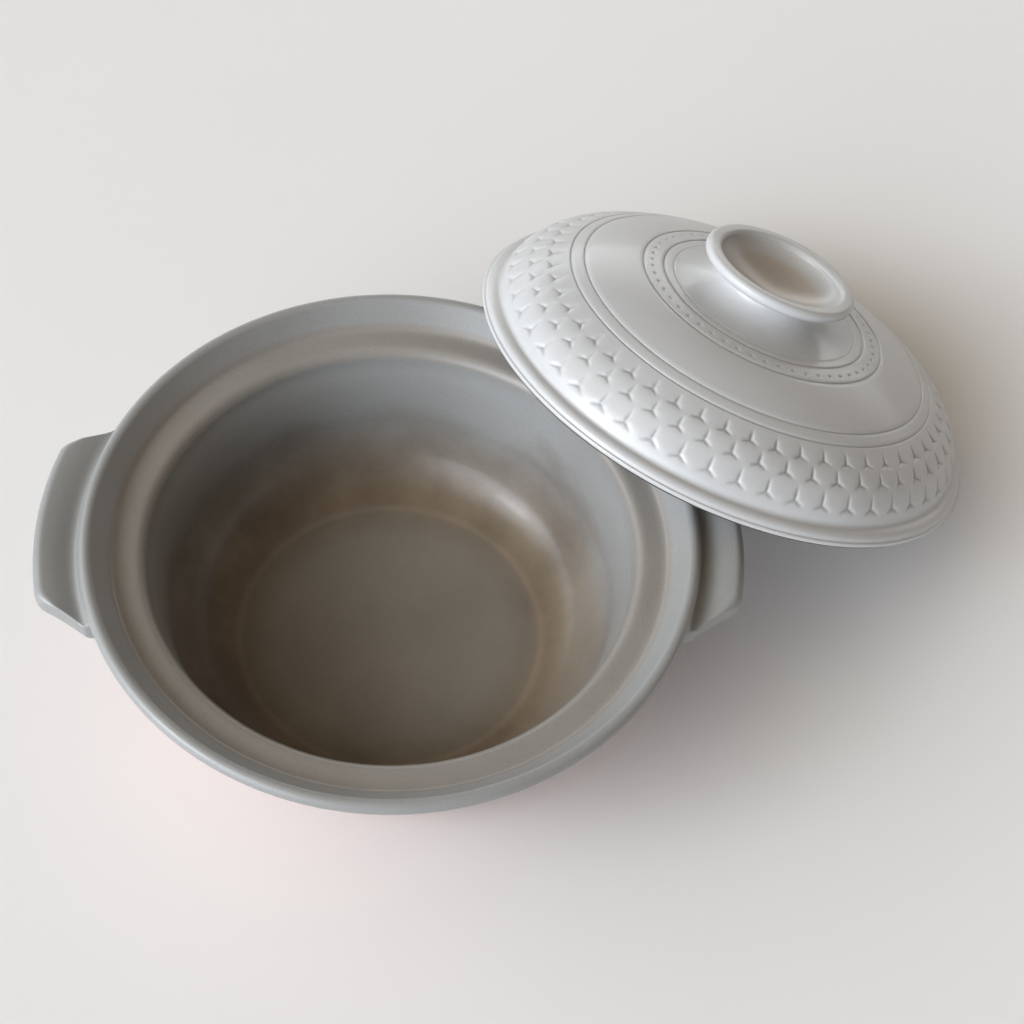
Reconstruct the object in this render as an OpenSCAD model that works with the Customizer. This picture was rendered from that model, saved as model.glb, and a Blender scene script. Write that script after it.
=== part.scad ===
// Clay cooking pot with two lug handles and its domed lid, which leans on the rim.
// Millimetres. The pot stands on z = 0 with its axis on the origin; its handles lie along x.

/* [Pot] */
// Outside diameter of the rim
rim_diameter = 290; // [280:0.5:300]
// Height of the rim's crest above the table
pot_height = 102.7; // [100:0.1:108]
// Rounding radius of the rim's crest
crest_round = 3.5; // [3:0.1:4]
// Depth of the lid's seat below the crest
seat_depth = 12.2; // [10.5:0.1:14]
// Distance from the crest's middle line in to the flat seat
seat_inset = 11.7; // [9:0.1:13.5]
// Width of the flat seat
seat_width = 9.4; // [7.5:0.1:11]
// Rounding radius between seat and bowl
seat_round = 5.5; // [4:0.1:7]
// Height of the bowl's floor above the table
floor_level = 11; // [9.5:0.1:12]
// Diameter of the flat part of the bowl's floor
floor_diameter = 139; // [130:0.5:146]
// Radius of the bend from floor to wall
bowl_round = 38; // [35:0.5:40]
// Wall thickness of the bowl
wall = 6.8; // [6:0.1:8]
// Outside diameter of the foot ring
foot_diameter = 160; // [152:0.5:166]
// Width of the foot ring
foot_width = 9; // [6:0.5:12]
// Height of the recess under the foot
foot_recess = 3.2; // [2:0.1:4]

/* [Handles] */
// How far a handle stands out from the rim
handle_reach = 21; // [16:0.5:23]
// Width of a handle across its outer corners
handle_width = 92; // [80:0.5:96]
// Width of a handle where it leaves the rim
handle_root = 117; // [108:0.5:122]
// Slant of a handle's ends
handle_slant = 22; // [14:0.5:26]
// Angle by which each handle sits off the line across the pot
handle_set = 2.75; // [0:0.05:4]
// Level of a handle's outer edge below the crest
handle_drop = 4.2; // [3:0.1:7]
// Thickness of a handle
handle_thick = 10.5; // [8:0.1:12]
// Rounding radius of a handle's corners
handle_corner = 9.5; // [6:0.5:12]

/* [Lid] */
// Distance from the crest's middle line in to the lid's edge, when the lid is on
lid_inset = 6.7; // [6:0.1:8.5]
// Height of the dome's top above the lid's widest line
dome_height = 47.6; // [45:0.1:51]
// Thickness of the dome
lid_wall = 6.5; // [5.5:0.1:8]
// Rounding radius of the lid's edge
edge_round = 2.2; // [1.9:0.05:2.5]
// Width of the flat ring under the lid's edge
lid_rest_width = 6; // [5:0.1:7]
// Depth of the incised rings
ring_depth = 0.6; // [0.3:0.05:1]
// Width of the incised rings
ring_width = 1.5; // [1:0.1:2]

/* [Knob] */
// Outside diameter of the knob's rim
knob_diameter = 81; // [77:0.2:85]
// Height of the knob above the dome's top
knob_height = 20.9; // [18:0.1:24]
// Diameter of the knob's waist
knob_waist = 56.6; // [54:0.2:62]
// Width of the knob's rolled rim
knob_roll = 8; // [7:0.1:10]
// Depth of the hollow in the knob
knob_depth = 15; // [12.5:0.1:17]

/* [Honeycomb band] */
// Number of cells in each row
cells = 52; // [44:2:60]
// Depth of a notch at its centre
notch_depth = 1.1; // [0.6:0.05:1.5]
// Length of a notch's inward leg
notch_stem = 6.4; // [4:0.1:7]
// Length of a notch's two outer legs
notch_arm = 5.6; // [4:0.1:6]
// Width of a notch at its centre
notch_width = 2; // [1.2:0.1:2.6]
// Distance along the band from its outer groove to the first row of notches
row_start = 9.4; // [8.8:0.1:10]
// Distance between the first and second rows of notches
row_pitch = 12.1; // [11.6:0.1:12.6]
// Distance between the second and third rows of notches
inner_pitch = 9.9; // [9.5:0.1:10.3]

/* [Leaning lid] */
// How far the lid's middle lies beyond the crest's middle line
lid_reach = 70.6; // [64:0.1:78]
// Direction of the lid's fall, from the handle on the positive side of x
lean_turn = 44.2; // [40:0.1:50]
// Direction in which the lid lies from the pot's axis
lid_turn = 35.9; // [33:0.1:42]
// Clearance left between the lid and what carries it
rest_gap = 0.25; // [0.1:0.05:0.5]

/* [Hidden] */
$fn = 96;

rim_r = rim_diameter / 2;
crest_r = rim_r - crest_round;
crest_z = pot_height - crest_round;
seat_z = pot_height - seat_depth;
seat_r = crest_r - seat_inset;
bore_r = seat_r - seat_width;
floor_r = floor_diameter / 2;
bend_z = floor_level + bowl_round;
bend_r = floor_r + bowl_round;
foot_r = foot_diameter / 2;
lid_r = crest_r - lid_inset;
rest_r = lid_r - edge_round - lid_rest_width;
knob_r = knob_diameter / 2;
open_r = knob_r - knob_roll;
waist_r = knob_waist / 2;
knob_top = dome_height + knob_height;
handle_z = pot_height - handle_drop;
handle_r = rim_r + handle_reach;

// Points of an arc from one angle to another.
function arc(cx, cy, r, a0, a1, n) =
    [for (i = [0:n]) let (a = a0 + (a1 - a0) * i / n) [cx + r * cos(a), cy + r * sin(a)]];

// Where the seat's slope touches the rounded crest.
slope_x = crest_r - seat_r;
slope_y = crest_z - seat_z;
slope_a = atan2(slope_y, slope_x) + asin(crest_round / norm([slope_x, slope_y]));

// Wall of the bowl, inside and outside; in between, points by their share of the way up.
wall_in = [[bend_r, bend_z], [bore_r - seat_round, seat_z - seat_round]];
wall_out = [[bend_r + wall, bend_z], [rim_r - 4, pot_height - 11.5]];
function between(p, x, y) = [p[0][0] + (p[1][0] - p[0][0]) * x, p[0][1] + (p[1][1] - p[0][1]) * y];
function bowl_inside() = concat(
    [[0, floor_level]],
    arc(floor_r, bend_z, bowl_round, -90, 0, 12),
    [between(wall_in, 0.19, 0.33), between(wall_in, 0.51, 0.67)],
    arc(bore_r, seat_z - seat_round, seat_round, 180, 90, 5),
    [[seat_r - 1.4, seat_z], [seat_r + 0.9, seat_z + 1.1]],
    arc(crest_r, crest_z, crest_round, slope_a + 90, -50, 12));

function bowl_outside() = concat(
    [wall_out[1], between(wall_out, 0.865, 0.889), between(wall_out, 0.663, 0.794),
     between(wall_out, 0.468, 0.694), between(wall_out, 0.326, 0.562), between(wall_out, 0.206, 0.372),
     between(wall_out, 0.086, 0.182)],
    arc(floor_r, bend_z, bowl_round + wall, 0, -70, 10));

function foot_ring() = [
    [foot_r + 2.2, 4.6], [foot_r + 0.9, 1], [foot_r, 0],
    [foot_r - foot_width, 0], [foot_r - foot_width - 0.8, 0.8],
    [foot_r - foot_width - 1.6, foot_recess], [0, foot_recess]];

// Section of a handle, before its plan is cut out.
function handle_section() = concat(
    [[bore_r + 6, seat_z - 10], [seat_r + 8, seat_z], [rim_r - 1.2, crest_z - 1.5],
     [rim_r + 0.4, handle_z - 3.2], [rim_r + 2, handle_z - 4.2],
     [rim_r + 4, handle_z - 4.1], [rim_r + 8, handle_z - 2.6], [handle_r - 5.6, handle_z - 0.5]],
    arc(handle_r - 4, handle_z - 4, 4, 95, -40, 7),
    [[handle_r - 2.6, handle_z - 9.2], [handle_r - 8, handle_z - handle_thick - 0.6],
     [rim_r + 2, handle_z - handle_thick - 4], [rim_r - 6, handle_z - handle_thick - 8]]);

// Plan of one handle: rounded corners, slanted ends that sweep out to the rim.
ball_y = handle_width / 2 - handle_corner * cos(handle_slant);
ball_x = sqrt(pow(handle_r - handle_corner, 2) - ball_y * ball_y);
slant_end = [ball_x, ball_y] + handle_corner * [sin(handle_slant), cos(handle_slant)];
sweep = slant_end + 10.8 * [-cos(handle_slant), sin(handle_slant)];
root = [sqrt(rim_r * rim_r - handle_root * handle_root / 4), handle_root / 2];
function bow(p, q, r, n) = [for (i = [1:n]) let (t = i / n)
    p * (1 - t) * (1 - t) + q * 2 * t * (1 - t) + r * t * t];

module handle_plan() {
    half = concat(
        [[handle_r + 5, 0]],
        arc(ball_x, ball_y, handle_corner, atan2(ball_y, ball_x), 90 - handle_slant, 6),
        bow(slant_end, sweep, root + (root - sweep) * 0.45, 6),
        [[90, root[1] + 8]]);
    other = [for (i = [len(half) - 1:-1:1]) [half[i][0], -half[i][1]]];
    polygon(concat(half, other));
}

module handle() {
    intersection() {
        rotate_extrude() polygon(handle_section());
        difference() {
            translate([0, 0, seat_z - 30]) linear_extrude(60) handle_plan();
            translate([0, 0, seat_z - 40]) cylinder(r = bore_r + 8, h = 80);
        }
    }
}

module pot() {
    color("#8f8d88") union() {
        rotate_extrude() polygon(concat(bowl_inside(), bowl_outside(), foot_ring()));
        rotate([0, 0, handle_set]) handle();
        rotate([0, 0, 180 - handle_set]) handle();
    }
}

// Stations of the lid's outside from the border groove up to the knob, as [radius, height].
kr = lid_r / 134.8;
kz = dome_height / 47.6;
b = [for (p = [[127.4, 5.1], [126.8, 9.1], [125, 13.7], [121.4, 18.9], [117.3, 23.3], [113.4, 26.4],
    [109, 29.1], [105, 31.4], [100.6, 33.7], [94.3, 36.6]]) [p[0] * kr, p[1] * kz]];
c = [for (p = [[85.2, 40.4], [75.7, 43.5], [66, 45.8], [61, 46.6], [55.4, 47.3], [50, 47.6]])
    [p[0] * kr, p[1] * kz]];

// The same stations moved in by the thickness of the dome.
skin = concat(b, c);
function inner(i) = let (d = skin[min(i + 1, len(skin) - 1)] - skin[max(i - 1, 0)])
    skin[i] + [-d[1], d[0]] / norm(d) * lid_wall * (d[0] > 0 ? -1 : 1);

// A shallow groove on the way from one station to the next.
function groove(at, lo, hi, w, d) =
    let (t = (hi - lo) / norm(hi - lo), n = [-t[1], t[0]] * (hi[0] < lo[0] ? -1 : 1))
    [at - t * w / 2, at - n * d, at + t * w / 2];

function knob_profile() = concat(
    bow(c[5], [waist_r + 4.4, dome_height], [waist_r, dome_height + 8.8], 8),
    bow([waist_r, dome_height + 8.8], [waist_r + 0.4, knob_top - 8], [knob_r - 3.4, knob_top - 5.9], 4),
    arc(knob_r - 2.7, knob_top - 3.4, 2.7, -70, 0, 4),
    arc(knob_r - 2.9, knob_top - 2.9, 2.9, 10, 90, 5),
    arc(open_r + 2.6, knob_top - 2.6, 2.6, 90, 170, 4),
    bow([open_r + 0.2, knob_top - 3], [waist_r - 3.3, knob_top - knob_depth * 0.9],
        [0, knob_top - knob_depth], 9));

function lid_underside() = concat(
    [[0, dome_height - lid_wall]],
    [for (i = [len(skin) - 1:-1:1]) inner(i)],
    [[rest_r - 4.6, 2.6], [rest_r - 2, 1.6 - edge_round], [rest_r - 0.6, 0.3 - edge_round],
     [rest_r, -edge_round]]);

function lid_edge() = concat(
    arc(lid_r - edge_round, 0, edge_round, -90, 22, 7),
    [[lid_r - 1, 1.2], [lid_r - 1.2, 1.9], [lid_r - 2, 3.1], [lid_r - 3.6, 4.3], [lid_r - 5.3, 5],
     [lid_r - 6.6, 5.2]]);

module lid_body() {
    rotate_extrude() polygon(concat(
        lid_underside(),
        lid_edge(),
        [for (i = [0:7]) b[i]],
        groove(b[8], b[7], b[9], ring_width, ring_depth),
        groove(b[9], b[8], c[0], ring_width, ring_depth),
        [c[0], c[1]],
        groove(c[2], c[1], c[3], ring_width, ring_depth),
        [c[3]],
        groove(c[4], c[3], c[5], ring_width, ring_depth),
        [c[5]],
        knob_profile()));
}

// Point of the band at a distance along it from its outer groove.
function run(i) = norm(b[i + 1] - b[i]);
function along(s, i = 0) = (s <= run(i) || i >= len(b) - 2)
    ? b[i] + (b[i + 1] - b[i]) * s / run(i)
    : along(s - run(i), i + 1);
function out_at(s) = let (d = along(s + 1.5) - along(s - 1.5)) [d[1], -d[0]] / norm(d);

// A point over the band: distance along it, sideways angle and height off the surface.
function over(s, a, h) = let (p = along(s) + out_at(s) * h) [p[0] * cos(a), p[0] * sin(a), p[1]];

// A three-legged notch where three cells meet, deepest in the middle.
module notch(s, depth, stem, arm, width) {
    turn = 57.3 / along(s)[0];
    tips = [over(s + stem, 0, 0.12), over(s - arm * 0.5, arm * 0.87 * turn, 0.12),
            over(s - arm * 0.5, -arm * 0.87 * turn, 0.12)];
    nooks = [over(s + width * 0.26, width * 0.45 * turn, 0.4), over(s - width * 0.52, 0, 0.4),
             over(s + width * 0.26, -width * 0.45 * turn, 0.4)];
    polyhedron(
        points = concat(tips, nooks, [over(s, 0, -depth), over(s, 0, 1.6)]),
        faces = [[6, 3, 0], [6, 1, 3], [6, 4, 1], [6, 2, 4], [6, 5, 2], [6, 0, 5],
                 [7, 0, 3], [7, 3, 1], [7, 1, 4], [7, 4, 2], [7, 2, 5], [7, 5, 0]]);
}

module notches() {
    step = 360 / cells;
    for (i = [0:cells - 1]) {
        rotate([0, 0, i * step]) notch(row_start, notch_depth, notch_stem, notch_arm, notch_width);
        rotate([0, 0, (i + 0.5) * step])
            notch(row_start + row_pitch, notch_depth, notch_stem * 0.8, notch_arm * 0.85, notch_width);
        rotate([0, 0, i * step])
            notch(row_start + row_pitch + inner_pitch, notch_depth, notch_stem * 0.75, notch_arm * 0.8, notch_width);
    }
}

// Rings of the lid that can touch: [radius, height, rounding].
touch = [[lid_r - edge_round, 0, edge_round], [rest_r, -edge_round, 0],
    [rest_r + lid_rest_width / 2, -edge_round, 0], [rest_r - 2, 1.6 - edge_round, 0]];
side = [-sin(lean_turn), cos(lean_turn), 0];
function fall(a) = [cos(a) * cos(lean_turn), cos(a) * sin(lean_turn), -sin(a)];
function up(a) = [sin(a) * cos(lean_turn), sin(a) * sin(lean_turn), cos(a)];

// Middle of the lid when it stands on the table at an angle.
lid_out = crest_r + lid_reach;
function middle(a) = [lid_out * cos(lid_turn), lid_out * sin(lid_turn),
    rest_gap + max([for (q = touch) q[0] * sin(a) - q[1] * cos(a) + q[2]])];

// Whether the crest would pass through the ring under the lid's edge.
function sunk(a) = max([for (k = [-80:80]) let (
    p = crest_r * [cos(lid_turn + k), sin(lid_turn + k), crest_z / crest_r] - middle(a),
    h = p * up(a), r = norm(p - h * up(a)))
    (r > rest_r && r < lid_r - edge_round) ? h : -99]) > 1 - edge_round - crest_round;

// Least distance from the lid's rings to the crest at an angle, and the least angle that clears it.
function space(a) = sunk(a) ? -1 : min([for (q = touch) for (k = [90:270]) let (
    p = middle(a) + up(a) * q[1] + q[0] * (fall(a) * cos(k) + side * sin(k)))
    norm([norm([p[0], p[1]]) - crest_r, p[2] - crest_z]) - q[2] - crest_round]);
function settle(lo, hi, n) = n == 0 ? hi
    : space((lo + hi) / 2) < rest_gap ? settle((lo + hi) / 2, hi, n - 1) : settle(lo, (lo + hi) / 2, n - 1);
lean = settle(2, 70, 17);

module lid() {
    translate(middle(lean)) rotate([0, lean, lean_turn])
        color("#dcdedf") difference() {
            lid_body();
            notches();
        }
}

pot();
lid();
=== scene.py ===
"""The clay pot with its carved lid leaning on the rim, dressed for the photograph's view."""
import math
import bpy
import numpy as np
from mathutils import Matrix, Vector


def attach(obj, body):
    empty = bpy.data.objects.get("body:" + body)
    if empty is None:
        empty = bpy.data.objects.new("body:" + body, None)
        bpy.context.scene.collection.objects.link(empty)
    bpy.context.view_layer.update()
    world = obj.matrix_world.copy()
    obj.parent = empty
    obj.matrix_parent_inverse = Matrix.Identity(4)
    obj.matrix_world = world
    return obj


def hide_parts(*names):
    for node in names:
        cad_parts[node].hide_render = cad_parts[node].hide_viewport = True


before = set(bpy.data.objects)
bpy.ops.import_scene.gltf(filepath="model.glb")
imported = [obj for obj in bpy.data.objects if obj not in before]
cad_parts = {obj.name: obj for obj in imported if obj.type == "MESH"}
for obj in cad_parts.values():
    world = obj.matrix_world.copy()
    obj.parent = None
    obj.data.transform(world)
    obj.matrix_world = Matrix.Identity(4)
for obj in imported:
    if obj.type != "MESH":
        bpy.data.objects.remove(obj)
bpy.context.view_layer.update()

MM = 0.001
TAU = 2 * math.pi


# the photograph's camera
cam_data = bpy.data.cameras.new("camera")
cam = bpy.data.objects.new("camera", cam_data)
bpy.context.collection.objects.link(cam)
right = (0.998197, -0.02514, 0.054501)
up = (-0.010275, 0.82307, 0.567846)
ahead = (0.059134, 0.567383, -0.821328)
stand = (-0.00338, -0.56065, 0.92964)
cam.matrix_world = Matrix([[right[i], up[i], -ahead[i], stand[i]] for i in range(3)] + [[0, 0, 0, 1]])
cam_data.sensor_width = 36
cam_data.lens = 75.262
cam_data.clip_end = 30
bpy.context.scene.camera = cam


# curves and meshes
def smooth_curve(points, per=6):
    """Catmull-Rom through points, by chord length; a point written as (r, z, 1) is a corner."""
    p = [np.array(q[:2], float) for q in points]
    corner = [len(q) > 2 for q in points]
    out = [p[0]]
    for i in range(len(p) - 1):
        a, b = p[i], p[i + 1]
        before = p[i - 1] if i > 0 and not corner[i] else a - (b - a)
        after = p[i + 2] if i + 2 < len(p) and not corner[i + 1] else b + (b - a)
        d0, d1, d2 = (max(np.linalg.norm(v), 1e-6) ** 0.5 for v in (a - before, b - a, after - b))
        m1 = (b - a) + d1 * ((a - before) / d0 - (b - before) / (d0 + d1)) if d0 > 1e-4 else b - a
        m2 = (b - a) + d1 * ((after - b) / d2 - (after - a) / (d1 + d2)) if d2 > 1e-4 else b - a
        for k in range(1, per + 1):
            t = k / per
            out.append((2 * t**3 - 3 * t**2 + 1) * a + (t**3 - 2 * t**2 + t) * m1
                       + (3 * t**2 - 2 * t**3) * b + (t**3 - t**2) * m2)
    return np.array(out)


def arc(cx, cy, r, a0, a1, n):
    """n + 1 points of a circle, from one angle to another in degrees."""
    a = np.radians(np.linspace(a0, a1, n + 1))
    return np.stack([cx + r * np.cos(a), cy + r * np.sin(a)], -1)


def resample(curve, n):
    """n + 1 points evenly along a curve."""
    s = np.r_[0, np.cumsum(np.linalg.norm(np.diff(curve, axis=0), axis=1))]
    t = np.linspace(0, s[-1], n + 1)
    return np.stack([np.interp(t, s, curve[:, 0]), np.interp(t, s, curve[:, 1])], -1)


def ease(lo, hi, x):
    """0 up to lo and 1 from hi, with a soft start and end."""
    t = np.clip((x - lo) / (hi - lo), 0, 1)
    return t * t * (3 - 2 * t)


def make_object(name, verts, faces):
    mesh = bpy.data.meshes.new(name)
    mesh.from_pydata([tuple(v) for v in verts], [], faces)
    mesh.polygons.foreach_set("use_smooth", [True] * len(mesh.polygons))
    mesh.update()
    o = bpy.data.objects.new(name, mesh)
    bpy.context.collection.objects.link(o)
    return o


# where the lid leans, in mm, and its pattern's count
LEAN, TURN = math.radians(27.449158), math.radians(44.2)
CENTRE = np.array([171.80983194, 124.36957686, 63.57347222])
FALL = np.array([math.cos(LEAN) * math.cos(TURN), math.cos(LEAN) * math.sin(TURN), -math.sin(LEAN)])
SIDE = np.array([-math.sin(TURN), math.cos(TURN), 0.0])
UP = np.array([math.sin(LEAN) * math.cos(TURN), math.sin(LEAN) * math.sin(TURN), math.cos(LEAN)])
CELLS = 52


# glazes and clay
def new_material(name):
    m = bpy.data.materials.new(name)
    m.use_nodes = True
    nt = m.node_tree
    nt.nodes.clear()
    out = nt.nodes.new("ShaderNodeOutputMaterial")
    bsdf = nt.nodes.new("ShaderNodeBsdfPrincipled")
    nt.links.new(bsdf.outputs[0], out.inputs[0])
    return m, nt, bsdf


def noise(nt, coords, scale, detail=3.0, rough=0.5):
    n = nt.nodes.new("ShaderNodeTexNoise")
    n.inputs["Scale"].default_value = scale
    n.inputs["Detail"].default_value = detail
    n.inputs["Roughness"].default_value = rough
    nt.links.new(coords, n.inputs["Vector"])
    return n.outputs["Fac"]


def ramp(nt, fac, stops):
    n = nt.nodes.new("ShaderNodeValToRGB")
    while len(n.color_ramp.elements) < len(stops):
        n.color_ramp.elements.new(0.5)
    for e, (pos, col) in zip(n.color_ramp.elements, stops):
        e.position = pos
        e.color = (*col, 1)
    nt.links.new(fac, n.inputs[0])
    return n.outputs[0]


def link_or_set(nt, sock, v):
    """Feed a socket from another one, or give it a fixed value."""
    if isinstance(v, bpy.types.NodeSocket):
        nt.links.new(v, sock)
    else:
        sock.default_value = v


def mix(nt, kind, fac, a, b):
    n = nt.nodes.new("ShaderNodeMix")
    n.data_type = "RGBA"
    n.blend_type = kind
    link_or_set(nt, n.inputs[0], fac)
    for sock, v in ((n.inputs[6], a), (n.inputs[7], b)):
        link_or_set(nt, sock, (*v, 1) if isinstance(v, tuple) else v)
    return n.outputs[2]


def maths(nt, op, a, b=0.0, clamp=False):
    n = nt.nodes.new("ShaderNodeMath")
    n.operation = op
    n.use_clamp = clamp
    link_or_set(nt, n.inputs[0], a)
    link_or_set(nt, n.inputs[1], b)
    return n.outputs[0]


def vector_maths(nt, op, a, b=None):
    n = nt.nodes.new("ShaderNodeVectorMath")
    n.operation = op
    link_or_set(nt, n.inputs[0], a)
    if b is not None:
        link_or_set(nt, n.inputs[1], b)
    return n.outputs


def axes(nt, vector):
    n = nt.nodes.new("ShaderNodeSeparateXYZ")
    nt.links.new(vector, n.inputs[0])
    return n.outputs


def over(nt, value, edge, sharp):
    """1 where a value is past an edge, and 0 short of it."""
    return maths(nt, "MULTIPLY", maths(nt, "SUBTRACT", value, edge), sharp, True)


def short_of(nt, value, edge, sharp):
    """1 where a value is short of an edge, and 0 past it."""
    return maths(nt, "MULTIPLY", maths(nt, "SUBTRACT", edge, value), sharp, True)


def fade(nt, value, lo, hi):
    """0 at lo and 1 at hi, with a soft start and end."""
    n = nt.nodes.new("ShaderNodeMapRange")
    n.interpolation_type = "SMOOTHSTEP"
    n.inputs["From Min"].default_value = lo
    n.inputs["From Max"].default_value = hi
    nt.links.new(value, n.inputs["Value"])
    return n.outputs[0]


def relief(nt, bsdf, height, strength):
    """Ripples of the glaze and grit of the clay, up to 0.4 mm."""
    bump = nt.nodes.new("ShaderNodeBump")
    bump.inputs["Strength"].default_value = strength
    bump.inputs["Distance"].default_value = 0.0004
    nt.links.new(height, bump.inputs["Height"])
    nt.links.new(bump.outputs[0], bsdf.inputs["Normal"])


def new_group(name, kind, inputs, outputs):
    """A node group with named sockets, given as (name, type, value), and its inside."""
    g = bpy.data.node_groups.new(name, kind)
    for label, what, value in inputs:
        sock = g.interface.new_socket(name=label, in_out="INPUT", socket_type="NodeSocket" + what)
        if value is not None:
            sock.default_value = value
    for label, what in outputs:
        g.interface.new_socket(name=label, in_out="OUTPUT", socket_type="NodeSocket" + what)
    return g, g.nodes.new("NodeGroupInput").outputs, g.nodes.new("NodeGroupOutput").inputs


def use_group(nt, group, **values):
    """Place a group in a tree; a value's name is its socket's, with _ for a space."""
    n = nt.nodes.new("ShaderNodeGroup" if nt.bl_idname == "ShaderNodeTree" else "GeometryNodeGroup")
    n.node_tree = group
    for label, v in values.items():
        link_or_set(nt, n.inputs[label.replace("_", " ")], v)
    return n.outputs


# mottle, specks and ripples of a fired glaze, for both glazes
grain, given, out = new_group(
    "glaze_grain", "ShaderNodeTree",
    [("Place", "Vector", None), ("Cloud scale", "Float", 14.0), ("Speck scale", "Float", 800.0),
     ("Ripple scale", "Float", 100.0)],
    [("Cloud", "Float"), ("Speck", "Float"), ("Ripple", "Float")])
for label, detail, rough in (("Cloud", 4.0, 0.52), ("Speck", 2.0, 0.6), ("Ripple", 3.0, 0.5)):
    n = grain.nodes.new("ShaderNodeTexNoise")
    n.inputs["Detail"].default_value = detail
    n.inputs["Roughness"].default_value = rough
    grain.links.new(given["Place"], n.inputs["Vector"])
    grain.links.new(given[label + " scale"], n.inputs["Scale"])
    grain.links.new(n.outputs["Fac"], out[label])


# heights and radii that the pot's glaze follows, in metres
SEAT_BOTTOM, SEAT_TOP, SEAT_OUTSIDE = 0.0855, 0.0945, 0.134
GLAZE_END, FLOOR_BOTTOM = 0.0768, 0.0105

# and on the lid, above its edge and out from its middle
BARE_SHADED_RING, DISH_LOWEST, DISH_RADIUS = -0.0006, 0.05, 0.0285


def pot_material():
    m, nt, bsdf = new_material("pot_glaze")
    place = nt.nodes.new("ShaderNodeTexCoord").outputs["Object"]
    x, y, z = axes(nt, place)
    cloud, speck, ripple = use_group(nt, grain, Place=place, Cloud_scale=14.0, Speck_scale=900.0, Ripple_scale=120.0)
    glaze = ramp(nt, cloud, [(0.3, (0.258, 0.258, 0.251)), (0.7, (0.293, 0.297, 0.293))])
    flat = nt.nodes.new("ShaderNodeCombineXYZ")
    nt.links.new(x, flat.inputs[0])
    nt.links.new(y, flat.inputs[1])
    radius = vector_maths(nt, "LENGTH", flat.outputs[0])["Value"]
    radius_10 = maths(nt, "MULTIPLY", radius, 10.0, True)
    # painted brown reflection and painted shade over the glaze's own patchy tone: brown and darker low in the bowl's
    # bend, a lighter brown on its floor
    patch = noise(nt, place, 17, 4, 0.6)
    brown = ramp(nt, patch, [(0.34, (0.108, 0.078, 0.051)), (0.66, (0.190, 0.143, 0.096))])
    level = maths(nt, "MULTIPLY", z, maths(nt, "ADD", maths(nt, "MULTIPLY", patch, 1.2), 0.4))
    bend = ramp(nt, maths(nt, "MULTIPLY", level, 10.0, True), [(0.16, (1, 1, 1)), (0.60, (0, 0, 0))])
    glaze = mix(nt, "MIX", bend, glaze, brown)
    # the floor's lighter brown is painted reflection and shade as well
    floor_tone_and_reflection = ramp(nt, patch, [(0.3, (0.178, 0.158, 0.132)), (0.7, (0.215, 0.192, 0.162))])
    glaze = mix(nt, "MIX", ramp(nt, radius_10, [(0.58, (1, 1, 1)), (0.80, (0, 0, 0))]), glaze, floor_tone_and_reflection)
    # it is a little browner on the lid's seat: a painted brown reflection
    seat = short_of(nt, z, SEAT_TOP, 500.0)
    seat = maths(nt, "MULTIPLY", seat, over(nt, z, SEAT_BOTTOM, 500.0))
    seat = maths(nt, "MULTIPLY", seat, short_of(nt, radius, SEAT_OUTSIDE, 500.0))
    glaze = mix(nt, "MULTIPLY", seat, glaze, (0.94, 0.87, 0.81))
    # a faint paler ring runs around the floor: a painted highlight along the floor's rounded edge
    ring = ramp(nt, radius_10, [(0.728, (1, 1, 1)), (0.752, (1.22, 1.22, 1.24)), (0.782, (1, 1, 1))])
    glaze = mix(nt, "MULTIPLY", 1.0, glaze, ring)
    dots = ramp(nt, speck, [(0.32, (0.80, 0.78, 0.75)), (0.42, (1, 1, 1))])
    glaze = mix(nt, "MULTIPLY", 0.6, glaze, dots)
    clay_tone = ramp(nt, noise(nt, place, 60, 5, 0.6), [(0.3, (0.44, 0.235, 0.165)), (0.7, (0.55, 0.32, 0.235))])
    # the clay is bare low on the pot, where it faces away from the middle, and all over its underside
    edge = maths(nt, "ADD", z, maths(nt, "MULTIPLY", noise(nt, place, 30, 2, 0.5), 0.002))
    low_down = short_of(nt, edge, GLAZE_END, 900.0)
    facing_x, facing_y, _ = axes(nt, nt.nodes.new("ShaderNodeNewGeometry").outputs["Normal"])
    outward = maths(nt, "ADD", maths(nt, "MULTIPLY", x, facing_x), maths(nt, "MULTIPLY", y, facing_y))
    underside = short_of(nt, z, FLOOR_BOTTOM, 2000.0)
    outside = maths(nt, "MAXIMUM", maths(nt, "MULTIPLY", outward, 400.0, True), underside)
    bare = maths(nt, "MULTIPLY", low_down, outside, True)
    nt.links.new(mix(nt, "MIX", bare, glaze, clay_tone), bsdf.inputs["Base Color"])
    rough = maths(nt, "ADD", maths(nt, "MULTIPLY", cloud, 0.08), 0.39)
    nt.links.new(maths(nt, "ADD", rough, maths(nt, "MULTIPLY", bare, 0.45)), bsdf.inputs["Roughness"])
    bsdf.inputs["IOR"].default_value = 1.48
    nt.links.new(maths(nt, "MULTIPLY", maths(nt, "SUBTRACT", 1.0, bare, True), 0.36), bsdf.inputs["Coat Weight"])
    bsdf.inputs["Coat Roughness"].default_value = 0.14
    grit = maths(nt, "MULTIPLY", noise(nt, place, 1400, 2, 0.5), bare)
    relief(nt, bsdf, maths(nt, "ADD", maths(nt, "MULTIPLY", ripple, 0.6), maths(nt, "MULTIPLY", grit, 1.2)), 0.35)
    return m


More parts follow.
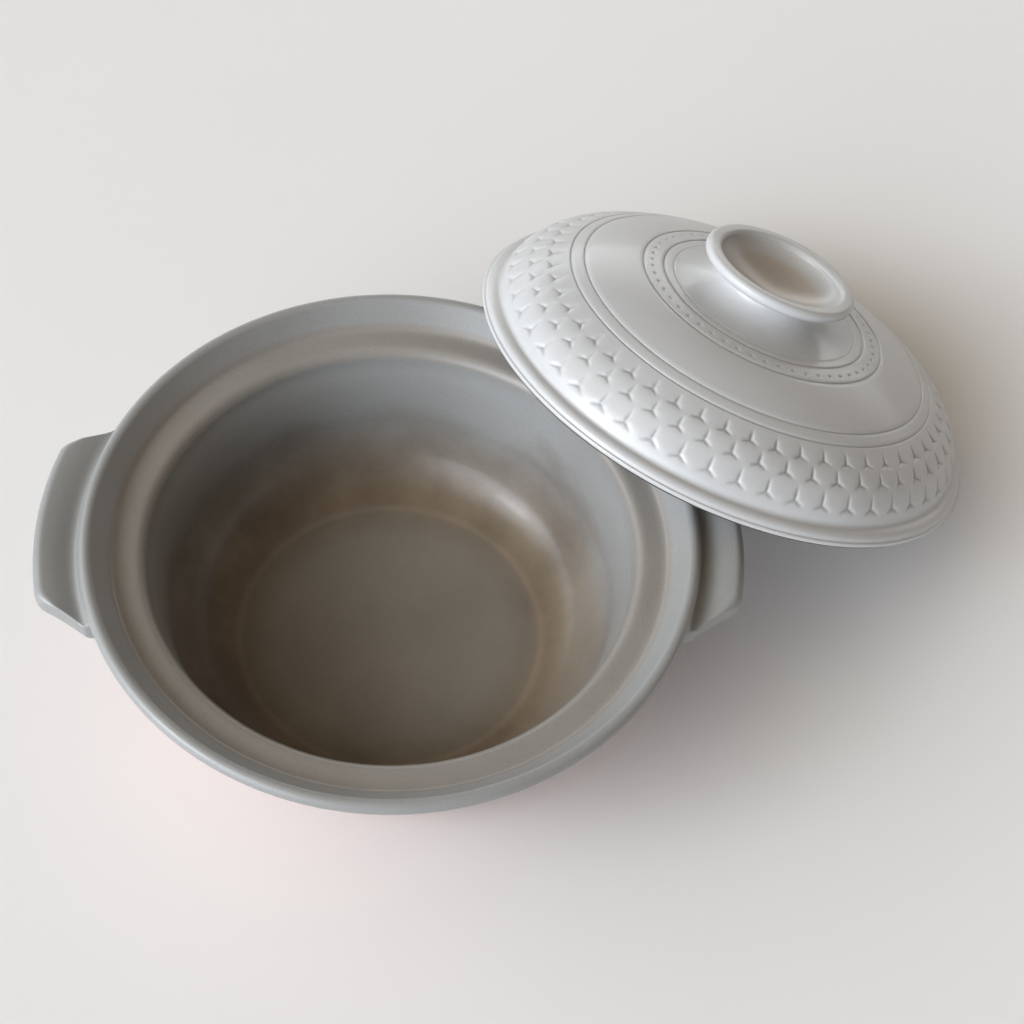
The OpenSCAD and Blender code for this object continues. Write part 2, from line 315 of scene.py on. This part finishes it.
def lid_material():
    m, nt, bsdf = new_material("lid_glaze")
    place = nt.nodes.new("ShaderNodeTexCoord").outputs["Object"]
    cloud, speck, ripple = use_group(nt, grain, Place=place, Cloud_scale=16.0, Speck_scale=700.0, Ripple_scale=90.0)
    glaze = ramp(nt, cloud, [(0.3, (0.500, 0.506, 0.508)), (0.7, (0.540, 0.549, 0.553))])
    fine = ramp(nt, speck, [(0.3, (0.90, 0.89, 0.88)), (0.42, (1, 1, 1))])
    glaze = mix(nt, "MULTIPLY", 0.5, glaze, fine)
    # glaze thins on edges and pools darker in the cuts; the darkening follows how shut in each spot is, so it is
    # partly painted shade
    cuts = nt.nodes.new("ShaderNodeAmbientOcclusion")
    cuts.samples = 6
    cuts.inputs["Distance"].default_value = 0.0022
    pooling_and_shade = ramp(nt, cuts.outputs["AO"], [(0.45, (0.40, 0.395, 0.39)), (0.88, (1, 1, 1))])
    glaze = mix(nt, "MULTIPLY", 0.9, glaze, pooling_and_shade)
    # the ring that rests on the pot is bare clay, painted near black as painted shade under the lid's edge
    rise = vector_maths(nt, "DOT_PRODUCT", place, tuple(UP))["Value"]
    rise = maths(nt, "SUBTRACT", rise, float(UP @ CENTRE) * MM)
    bare = short_of(nt, rise, BARE_SHADED_RING, 2500.0)
    # the knob's dish is tinted browner: a painted brown reflection
    arm = vector_maths(nt, "SUBTRACT", place, tuple(CENTRE * MM))[0]
    off_axis = vector_maths(nt, "LENGTH", vector_maths(nt, "CROSS_PRODUCT", arm, tuple(UP))[0])["Value"]
    dish = short_of(nt, off_axis, DISH_RADIUS, 220.0)
    dish = maths(nt, "MULTIPLY", dish, over(nt, rise, DISH_LOWEST, 900.0))
    glaze = mix(nt, "MULTIPLY", dish, glaze, (0.97, 0.87, 0.77))
    # the bare ring's near-black colour is partly painted shade
    nt.links.new(mix(nt, "MIX", bare, glaze, (0.060, 0.045, 0.036)), bsdf.inputs["Base Color"])
    rough = maths(nt, "ADD", maths(nt, "MULTIPLY", cloud, 0.08), 0.30)
    nt.links.new(maths(nt, "ADD", rough, maths(nt, "MULTIPLY", bare, 0.45)), bsdf.inputs["Roughness"])
    bsdf.inputs["IOR"].default_value = 1.45
    nt.links.new(maths(nt, "MULTIPLY", maths(nt, "SUBTRACT", 1.0, bare), 0.32), bsdf.inputs["Coat Weight"])
    bsdf.inputs["Coat Roughness"].default_value = 0.10
    relief(nt, bsdf, ripple, 0.25)
    return m


# the pot, in mm
RIM, CREST_R, CREST_Z, ROUND = 145.0, 141.5, 99.2, 3.5
SEAT_Z, SEAT_R = 90.5, 129.8
BOWL_FLOOR, FOOT_RECESS = 11.0, 3.2
HANDLES = (2.75, 177.25)                           # degrees around the pot
HANDLE_R, HANDLE_CORNER, SLANT = 166.0, 9.5, math.radians(22)
WALL_POINTS = 45                                   # from the lip to the bowl's wall, handle or not

slope = np.array([CREST_R - SEAT_R, CREST_Z - SEAT_Z])
slope_a = math.degrees(math.atan2(slope[1], slope[0]) + math.asin(ROUND / np.linalg.norm(slope)))
inside = np.vstack([
    resample(np.array([[0, BOWL_FLOOR], [69.5, BOWL_FLOOR]]), 10)[:-1],
    arc(69.5, 49, 38, -90, 0, 26)[:-1],
    smooth_curve([(107.5, 49), (108.9, 61), (111.3, 73), (114.3, 82.5)], 5)[:-1],
    arc(120.5, 84.6, 5.9, 178, 90, 9)[:-1],
    smooth_curve([(121, 90.5), (125, 90.45), (127.8, 90.5), (129.6, 90.95), (130.9, 92.0)], 3),
    arc(CREST_R, CREST_Z, ROUND, slope_a + 90, 90, 7),
])
lip = arc(CREST_R, CREST_Z, ROUND, 90, -28, 12)[1:]

under = smooth_curve([(144.59, 97.56), (143.6, 95.3), (141.2, 91.3), (137.4, 86.9), (132.4, 82.7),
                      (126.8, 78.1), (123.0, 72.5), (119.8, 64.7)], 8)
wall = np.vstack([smooth_curve([(119.8, 64.7), (116.7, 56.7), (114.3, 49)], 4)[1:-1],
                  arc(69.5, 49, 44.8, 0, -68, 24)])
foot = smooth_curve([(84.9, 6.6), (82.9, 5.0), (81.6, 3.6), (80.8, 1.2), (80.2, 0.25, 1), (79.6, 0, 1),
                     (75, 0), (71.3, 0, 1), (70.4, 0.6), (69.6, 2.4), (68.2, FOOT_RECESS, 1),
                     (40, FOOT_RECESS), (0, FOOT_RECESS)], 3)[1:]

# top and underside of a handle, by radius
top_r = np.array([143.9, 144.7, 145.5, 146.3, 147.2, 148.3, 150, 153, 156.5, 159.5, 162, 166])
top_z = np.array([97.9, 96.6, 95.4, 94.75, 94.4, 94.35, 94.85, 96.1, 97.3, 98.0, 98.4, 98.6])
bot_r = np.array([130, 137, 141, 147, 157, 166])
bot_z = np.array([80.5, 81.9, 83.1, 85.0, 87.4, 88.6])


def bow(p, q, r, n):
    """n points of a bend from p to r that pulls towards q."""
    t = np.linspace(0, 1, n + 1)[1:, None]
    return p * (1 - t)**2 + q * 2 * t * (1 - t) + r * t * t


ball_y = 46 - HANDLE_CORNER * math.cos(SLANT)
ball_x = math.sqrt((HANDLE_R - HANDLE_CORNER)**2 - ball_y**2)
slant_end = np.array([ball_x + HANDLE_CORNER * math.sin(SLANT), ball_y + HANDLE_CORNER * math.cos(SLANT)])
sweep = slant_end + 10.8 * np.array([-math.cos(SLANT), math.sin(SLANT)])
root = np.array([math.sqrt(RIM**2 - 58.5**2), 58.5])
plan = np.vstack([arc(0, 0, HANDLE_R, 0, math.degrees(math.atan2(ball_y, ball_x)), 20),
                  arc(ball_x, ball_y, HANDLE_CORNER, math.degrees(math.atan2(ball_y, ball_x)), 68, 20)[1:],
                  bow(slant_end, sweep, root + (root - sweep) * 0.45, 40)])
plan_a = np.degrees(np.arctan2(plan[:, 1], plan[:, 0]))
plan_r = np.hypot(plan[:, 0], plan[:, 1])


def reach(phi):
    """Outer edge of a handle at an angle from its middle."""
    return np.where(np.abs(phi) < plan_a[-1], np.interp(np.abs(phi), plan_a, plan_r), 138.0)


under_rows = resample(under, WALL_POINTS - 1)
tail = resample(smooth_curve([(137.4, 86.9), (132.4, 82.7), (126.8, 78.1), (123.0, 72.5), (119.8, 64.7)], 8), 14)


def handle_rows(r):
    """Points from the lip, over a handle that reaches r, to the bowl's wall."""
    rho = 1.3 + 2.9 * float(ease(158, 164.8, r))
    tip = max(r - rho, 145.2)
    t = np.linspace(0, 1, 15)**0.9
    rr = 144.3 + (tip - 144.3) * t
    rows = np.stack([rr, np.interp(rr, top_r, top_z)], -1)
    crest = rows[-1, 1]
    floor = float(np.interp(r - 2.2, bot_r, bot_z))
    rho_z = min(rho, (crest - floor) * 0.45)
    a = np.radians(np.linspace(80, 0, 7))
    edge = np.stack([tip + (r - tip) * np.cos(a), crest - rho_z + rho_z * np.sin(a)], -1)
    side = np.array([[r - 0.15, (crest + floor) / 2 - 0.8]])
    a = np.radians(np.linspace(0, -80, 6))
    low_edge = np.stack([r - 2.3 + 2.1 * np.cos(a), floor + 2.1 + 2.1 * np.sin(a)], -1)
    rr = np.linspace(r - 3.4, 137.5, 8)
    base = np.stack([rr, np.interp(rr, bot_r, bot_z)], -1)
    return np.vstack([rows, edge, side, low_edge, base, tail[7:]])


def outer_wall(phi):
    """The wall below the lip at an angle from a handle's middle."""
    r = float(reach(phi))
    w = float(ease(144.6, 147.6, r))
    if w == 0:
        return under_rows
    return under_rows * (1 - w) + handle_rows(max(r, 146.5)) * w


def from_handle(az):
    """Angle from the nearer handle's middle."""
    return min(((az - h + 180) % 360 - 180 for h in HANDLES), key=abs)


# the sections stand closer together over the handles' ends
angles = []
az = 0.0
while az < 360 - 1e-6:
    angles.append(az)
    az += 0.36 if 13 < abs(from_handle(az)) < 26.5 else 1.2
angles = np.array(angles)

sections = []
for az in angles:
    sections.append(np.vstack([inside, lip, outer_wall(from_handle(az))[1:], wall, foot]))
sections = np.array(sections)                      # [angle, row, (r, z)]
n_a, n_r = sections.shape[:2]
ca, sa = np.cos(np.radians(angles))[:, None], np.sin(np.radians(angles))[:, None]
grid = np.stack([sections[:, :, 0] * ca, sections[:, :, 0] * sa, sections[:, :, 1]], -1) * MM
verts = [(0, 0, BOWL_FLOOR * MM)] + [tuple(v) for i in range(1, n_r - 1) for v in grid[:, i]]
verts.append((0, 0, FOOT_RECESS * MM))


def at(i, k):
    """Number of the point in row i and section k, around the pot."""
    return 1 + (i - 1) * n_a + k % n_a


faces = [(0, at(1, k), at(1, k + 1)) for k in range(n_a)]
for i in range(1, n_r - 2):
    faces += [(at(i, k), at(i + 1, k), at(i + 1, k + 1), at(i, k + 1)) for k in range(n_a)]
faces += [(len(verts) - 1, at(n_r - 2, k + 1), at(n_r - 2, k)) for k in range(n_a)]
pot = make_object("pot_body", verts, faces)
pot.data.materials.append(pot_material())
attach(pot, "root")
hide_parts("pot")


# the lid, in mm
UNDER_TOP, DISH_LOW = 41.1, 53.55                  # the lid's middle, underneath and in the knob's dish
FINE, MID, COARSE, PLAIN = CELLS * 20, CELLS * 10, CELLS * 5, CELLS * 5 // 2     # points around the lid
BAND_STEPS = 54                                    # up the band
OFF_BAND, OFF_RING = -99.0, 99.0                   # the guides' values away from the notches and dimples
DIMPLE_R = 61.4
# each row of notches: start up the band, shift in cells, length of stem and arm
ROWS = ((10.0, 0.0, 7.2, 5.8), (22.1, 0.5, 6.2, 5.2), (32.0, 0.0, 5.6, 4.8))

band_line = smooth_curve([(128.6, 5.3, 1), (127.7, 5.85), (127.2, 7.1), (126.75, 9.3), (125.0, 13.7), (121.4, 18.9),
                          (117.3, 23.3), (113.4, 26.4), (109.0, 29.1), (105.0, 31.4), (101.2, 33.4)], 12)
band_s = np.r_[0, np.cumsum(np.linalg.norm(np.diff(band_line, axis=0), axis=1))]
band_rows_s = np.linspace(0, band_s[-1], BAND_STEPS + 1)
band_p = np.stack([np.interp(band_rows_s, band_s, band_line[:, k]) for k in (0, 1)], -1)

lid_under = smooth_curve([(0, UNDER_TOP), (30, UNDER_TOP), (44, UNDER_TOP), (54.7, 40.8), (64.7, 39.4), (73.9, 37.3),
                          (83, 34.3), (91.7, 30.7), (97.7, 27.9), (105.6, 23.5), (112.9, 18.5), (116.2, 14.9),
                          (118.9, 10.9), (120.6, 6.4), (122.0, 2.6), (124.4, -0.5), (125.9, -1.9), (126.7, -2.2, 1),
                          (129.5, -2.2)], 1)
lid_edge = np.vstack([arc(132.6, 0, 2.2, -90, 30, 12),
                      smooth_curve([(134.4, 1.15, 1), (133.85, 1.35), (133.6, 1.85, 1), (133.2, 3.1),
                                    (132.2, 4.2), (130.8, 4.9), (129.6, 5.15), (128.6, 5.3)], 3)[1:]])


def ring_rows(a, b, width=1.5, depth=0.6):
    """Rows across an incised ring at a, on the way to b."""
    a, b = np.array(a, float), np.array(b, float)
    t = (b - a) / np.linalg.norm(b - a)
    n = np.array([t[1], -t[0]])
    k = np.linspace(-1, 1, 9)
    return np.array([a + t * width / 2 * q - n * depth * (1 - abs(q)**1.3)**1.4 for q in k])


crown_a = np.vstack([
    ring_rows((100.6, 33.7), (94.3, 36.6)),
    smooth_curve([(99.4, 34.3), (97.4, 35.2), (95.3, 36.15)], 2)[1:-1],
    ring_rows((94.3, 36.6), (85.2, 40.4)),
    smooth_curve([(93.1, 37.1), (89.4, 38.7), (85.2, 40.4), (80.6, 42.0), (75.7, 43.5), (71, 44.7),
                  (67, 45.6)], 2)[1:-1],
    ring_rows((66, 45.8), (61, 46.6)),
])
dots_line = smooth_curve([(65.0, 45.95), (63.4, 46.25), (61.4, 46.58), (59.4, 46.88), (57.8, 47.08), (56.4, 47.2)], 8)
dot_r = np.array([64.0, 62.9, 62.5, 62.1, 61.75, 61.4, 61.05, 60.7, 60.3, 59.9, 58.9, 57.6])
dots_line = np.stack([dot_r, np.interp(-dot_r, -dots_line[:, 0], dots_line[:, 1])], -1)
crown_b = np.vstack([
    ring_rows((55.4, 47.3), (50, 47.6)),
    smooth_curve([(54.6, 47.35), (52.6, 47.5), (50.6, 47.6)], 2)[1:-1],
    ring_rows((50, 47.65), (45, 48.2), 1.2, 0.25),
])
knob = np.vstack([
    smooth_curve([(49.2, 47.7), (44.6, 48.1), (39.8, 48.9), (35.2, 50.4), (31.4, 52.7), (29.1, 55.4),
                  (28.3, 58.0), (29.3, 60.2), (32.6, 61.7), (36.2, 62.35), (38.0, 62.6)], 4)[:-1],
    arc(37.8, 65.1, 2.7, -72, 0, 7)[:-1],
    arc(37.6, 65.6, 2.9, 0, 90, 9)[:-1],
    arc(35.1, 65.9, 2.6, 90, 178, 9),
    smooth_curve([(32.55, 65.5), (31.9, 64.3), (30.6, 62.8), (28.8, 61.3), (26.2, 59.7), (22.6, 58.0),
                  (17.4, 56.2), (12.4, 55.0), (6.4, 54.0), (0.0, DISH_LOW)], 3)[1:],
])


def lid_world(rr, zz, th):
    """Where points of the lid lie as it leans: radius, height and angle on the lid."""
    rr, zz, th = np.broadcast_arrays(rr, zz, th)
    p = (CENTRE + rr[..., None] * (np.cos(th)[..., None] * FALL + np.sin(th)[..., None] * SIDE)
         + zz[..., None] * UP)
    return p * MM


rows = []                                          # each row: how many points, and the points
# what the carving follows at each point, with the middle of the underside first
guides = {"along": [[OFF_BAND]], "across": [[OFF_RING]], "around": [[0.0]], "pitch": [[0.0]]}


def add_rows(line, n, along=None, across=None):
    """Rows of n points; along is the way up the band and across the way from the dimples' ring, in mm."""
    th = np.arange(n) / n * TAU
    for k, (r, z) in enumerate(line):
        rows.append((n, lid_world(np.full(n, r), np.full(n, z), th)))
        guides["along"].append(np.full(n, OFF_BAND if along is None else along[k]))
        guides["across"].append(np.full(n, OFF_RING if across is None else across[k]))
        guides["around"].append(th / TAU * CELLS)
        guides["pitch"].append(np.full(n, TAU * r / CELLS))


add_rows(lid_under[1:], PLAIN)
add_rows(lid_edge[:-1], COARSE)
add_rows(band_p, FINE, along=band_rows_s)
add_rows(crown_a[1:], PLAIN)
add_rows(dots_line, MID, across=dots_line[:, 0] - DIMPLE_R)
add_rows(crown_b, PLAIN)
add_rows(knob[:-1], PLAIN)

verts = [tuple((CENTRE + UP * UNDER_TOP) * MM)]
starts = []
for n, pts in rows:
    starts.append(len(verts))
    verts += [tuple(p) for p in pts]
verts.append(tuple((CENTRE + UP * DISH_LOW) * MM))
first, last = rows[0][0], rows[-1][0]
faces = [(0, 1 + (k + 1) % first, 1 + k) for k in range(first)]
for (na, _), (nb, _), a, b in zip(rows, rows[1:], starts, starts[1:]):
    if na == nb:
        faces += [(a + k, a + (k + 1) % na, b + (k + 1) % nb, b + k) for k in range(na)]
    elif na < nb:                                  # the next row has q points for each one of this row
        q = nb // na
        faces += [tuple([a + k, a + (k + 1) % na] + [b + (k * q + j) % nb for j in range(q, -1, -1)])
                  for k in range(na)]
    else:
        q = na // nb
        faces += [tuple([b + (k + 1) % nb, b + k] + [a + (k * q + j) % na for j in range(q + 1)])
                  for k in range(nb)]
faces += [(len(verts) - 1, starts[-1] + k, starts[-1] + (k + 1) % last) for k in range(last)]
lid = make_object("lid_body", verts, faces)
for name, parts in guides.items():
    layer = lid.data.attributes.new(name, "FLOAT", "POINT")
    layer.data.foreach_set("value", np.concatenate([*parts, parts[0]]).astype(np.float32))


def square(g, v):
    return maths(g, "MULTIPLY", v, v)


def bell(g, d2, width):
    """1 on a line, and falling away over a width; d2 is the distance from it, squared."""
    return maths(g, "EXPONENT", maths(g, "MULTIPLY", maths(g, "DIVIDE", d2, square(g, width)), -1.0))


def leg_cut(g, x, y, tx, ty, length, width, soft_width):
    """A leg's groove and the soft hollow around it, each 1 at its deepest, thinning towards the leg's end."""
    t = maths(g, "ADD", maths(g, "MULTIPLY", x, tx), maths(g, "MULTIPLY", y, ty))
    t = maths(g, "DIVIDE", t, length, True)
    run = maths(g, "MULTIPLY", t, length)
    dx = maths(g, "SUBTRACT", x, maths(g, "MULTIPLY", run, tx))
    dy = maths(g, "SUBTRACT", y, maths(g, "MULTIPLY", run, ty))
    d2 = maths(g, "ADD", square(g, dx), square(g, dy))
    w = maths(g, "MULTIPLY", width, maths(g, "SUBTRACT", 1.0, maths(g, "MULTIPLY", t, 0.4)))
    both = []
    for wide, fall in ((w, maths(g, "POWER", t, 1.8)), (soft_width, maths(g, "MULTIPLY", t, 0.8))):
        both.append(maths(g, "MULTIPLY", bell(g, d2, wide), maths(g, "SUBTRACT", 1.0, fall)))
    return both


# one row of three-legged notches: a stem up the dome and an arm to each side
notch_row, given, out = new_group(
    "notch_row", "GeometryNodeTree",
    [("Along", "Float", 0.0), ("Around", "Float", 0.0), ("Pitch", "Float", 12.0), ("Row start", "Float", 10.0),
     ("Shift", "Float", 0.0), ("Stem", "Float", 7.0), ("Arm", "Float", 5.5), ("Depth", "Float", 1.0),
     ("Width", "Float", 0.66), ("Soft depth", "Float", 0.42), ("Soft width", "Float", 2.3)], [("Cut", "Float")])
x = maths(notch_row, "ADD", maths(notch_row, "SUBTRACT", given["Around"], given["Shift"]), 0.5)
x = maths(notch_row, "SUBTRACT", maths(notch_row, "FRACT", x), 0.5)
x = maths(notch_row, "MULTIPLY", maths(notch_row, "ABSOLUTE", x), given["Pitch"])
y = maths(notch_row, "SUBTRACT", given["Along"], given["Row start"])
stem = leg_cut(notch_row, x, y, 0.0, 1.0, given["Stem"], given["Width"], given["Soft width"])
arm = leg_cut(notch_row, x, y, 0.88, -0.475, given["Arm"], given["Width"], given["Soft width"])
groove = maths(notch_row, "MULTIPLY", maths(notch_row, "MAXIMUM", stem[0], arm[0]), given["Depth"])
hollow = maths(notch_row, "MULTIPLY", maths(notch_row, "MAXIMUM", stem[1], arm[1]), given["Soft depth"])
notch_row.links.new(maths(notch_row, "ADD", groove, hollow), out["Cut"])

# the carving presses the rows of notches into the band and a ring of dimples into the crown
carving, given, out = new_group(
    "lid_carving", "GeometryNodeTree",
    [("Lid", "Geometry", None), ("Notch depth", "Float", 1.0), ("Notch width", "Float", 0.66),
     ("Soft depth", "Float", 0.42), ("Soft width", "Float", 2.3), ("Dimple depth", "Float", 0.75),
     ("Dimple width", "Float", 0.72), ("Glaze", "Material", None)], [("Lid", "Geometry")])


def guide(name):
    n = carving.nodes.new("GeometryNodeInputNamedAttribute")
    n.data_type = "FLOAT"
    n.inputs["Name"].default_value = name
    return n.outputs["Attribute"]


along, across, turned, pitch = (guide(name) for name in guides)
pressed = 0.0
for start, shift, stem, arm in ROWS:
    row = use_group(carving, notch_row, Along=along, Around=turned, Pitch=pitch, Row_start=start, Shift=shift,
                    Stem=stem, Arm=arm, Depth=given["Notch depth"], Width=given["Notch width"],
                    Soft_depth=given["Soft depth"], Soft_width=given["Soft width"])["Cut"]
    pressed = maths(carving, "MAXIMUM", pressed, row)
pressed = maths(carving, "MULTIPLY", pressed, fade(carving, along, 0.0, 1.5))
x = maths(carving, "SUBTRACT", maths(carving, "FRACT", maths(carving, "ADD", turned, 0.5)), 0.5)
x = maths(carving, "MULTIPLY", x, pitch)
dimple = bell(carving, maths(carving, "ADD", square(carving, x), square(carving, across)), given["Dimple width"])
dimple = maths(carving, "MULTIPLY", dimple, given["Dimple depth"])
pressed = maths(carving, "MULTIPLY", maths(carving, "ADD", pressed, dimple), -MM)
push = carving.nodes.new("ShaderNodeVectorMath")
push.operation = "SCALE"
carving.links.new(carving.nodes.new("GeometryNodeInputNormal").outputs["Normal"], push.inputs[0])
carving.links.new(pressed, push.inputs["Scale"])
move = carving.nodes.new("GeometryNodeSetPosition")
carving.links.new(given["Lid"], move.inputs["Geometry"])
carving.links.new(push.outputs[0], move.inputs["Offset"])
whole = carving.nodes.new("GeometryNodeRealizeInstances")
carving.links.new(move.outputs[0], whole.inputs[0])
dress = carving.nodes.new("GeometryNodeSetMaterial")
carving.links.new(whole.outputs[0], dress.inputs["Geometry"])
carving.links.new(given["Glaze"], dress.inputs["Material"])
carving.links.new(dress.outputs[0], out["Lid"])

carve = lid.modifiers.new("carving", "NODES")
carve.node_group = carving
settings = {"Notch depth": 1.0, "Notch width": 0.66, "Soft depth": 0.42, "Soft width": 2.3,
            "Dimple depth": 0.75, "Dimple width": 0.72, "Glaze": lid_material()}
for sock in carving.interface.items_tree:
    if sock.in_out == "INPUT" and sock.name in settings:
        carve[sock.identifier] = settings[sock.name]
graph = bpy.context.evaluated_depsgraph_get()
carved = bpy.data.meshes.new_from_object(lid.evaluated_get(graph), depsgraph=graph)
lid.modifiers.remove(carve)
lid.data = carved
for name in guides:
    carved.attributes.remove(carved.attributes[name])
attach(lid, "root")
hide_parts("lid")


# table, window and room
TABLE_HALF = 30.0                                  # metres of table each way, past every view's edge
table = bpy.data.meshes.new("floor")
corners = [(-TABLE_HALF, -TABLE_HALF, 0), (TABLE_HALF, -TABLE_HALF, 0), (TABLE_HALF, TABLE_HALF, 0),
           (-TABLE_HALF, TABLE_HALF, 0)]
table.from_pydata(corners, [], [(0, 1, 2, 3)])
floor = bpy.data.objects.new("floor", table)
bpy.context.collection.objects.link(floor)
table_paint, nt, bsdf = new_material("table")
tone = noise(nt, nt.nodes.new("ShaderNodeTexCoord").outputs["Object"], 3.0, 2, 0.5)
nt.links.new(ramp(nt, tone, [(0.3, (0.79, 0.79, 0.79)), (0.7, (0.81, 0.81, 0.81))]), bsdf.inputs["Base Color"])
bsdf.inputs["Roughness"].default_value = 0.55
table.materials.append(table_paint)


def around(az, el, dist):
    """A place seen from the pot at an azimuth of the picture's frame, turned into the model's."""
    a, e = math.radians(az - 5.95), math.radians(el)
    return (dist * math.cos(e) * math.cos(a), dist * math.cos(e) * math.sin(a), dist * math.sin(e))


pane = bpy.data.lights.new("window", "AREA")
pane.shape = "RECTANGLE"
pane.size, pane.size_y = 0.65, 0.5
pane.energy = 7.8
pane.color = (0.92, 0.97, 1.0)
window = bpy.data.objects.new("window", pane)
bpy.context.collection.objects.link(window)
window.location = around(-150, 36, 2.6)
window.rotation_euler = (Vector((0.05, 0.05, 0.05)) - window.location).to_track_quat("-Z", "Y").to_euler()

# the room: a bright window on one side with a paler wall around it, a pale wall beyond, the rest dim
world = bpy.data.worlds.new("world")
bpy.context.scene.world = world
world.use_nodes = True
wt = world.node_tree
wt.nodes.clear()
wo = wt.nodes.new("ShaderNodeOutputWorld")
bg = wt.nodes.new("ShaderNodeBackground")
direction = wt.nodes.new("ShaderNodeTexCoord").outputs["Generated"]
height = axes(wt, direction)[2]


def toward(az, el):
    """1 in a direction, down to -1 in the opposite one."""
    return vector_maths(wt, "DOT_PRODUCT", direction, around(az, el, 1.0))["Value"]


def lobe(az, el, outer, inner):
    """Bright within inner degrees of a direction, dark beyond outer."""
    return fade(wt, toward(az, el), math.cos(math.radians(outer)), math.cos(math.radians(inner)))


def low_wall(az):
    """Light from near the horizon on one side."""
    side = maths(wt, "MAXIMUM", toward(az, 0), 0.0)
    return maths(wt, "MULTIPLY", maths(wt, "MULTIPLY", side, side), fade(wt, height, 0.40, 0.06))


# a strip of sky on the window's side, then each patch of light with its colour
strip = maths(wt, "MULTIPLY", fade(wt, height, 0.22, 0.36), fade(wt, height, 0.66, 0.46))
strip = maths(wt, "MULTIPLY", strip, fade(wt, toward(-166, 0), 0.2, 0.85))
room = mix(wt, "MIX", fade(wt, height, 0.0, 0.8), (0.05, 0.042, 0.035), (0.14, 0.123, 0.105))
for weight, colour in ((lobe(-150, 36, 20, 8), (2.43, 2.52, 2.7)), (lobe(-138, 20, 45, 15), (2.8, 3.0, 3.25)),
                       (strip, (1.9, 2.1, 2.5)), (lobe(-175, 50, 48, 18), (0.62, 0.52, 0.34)),
                       (lobe(10, 35, 70, 20), (0.12, 0.08, 0.05)),
                       (low_wall(90), (2.75, 2.85, 2.9)), (low_wall(-90), (0.66, 0.68, 0.70))):
    room = mix(wt, "ADD", weight, room, colour)
wt.links.new(room, bg.inputs["Color"])
bg.inputs["Strength"].default_value = 1.0
wt.links.new(bg.outputs[0], wo.inputs[0])

bpy.context.scene.view_settings.view_transform = "Standard"
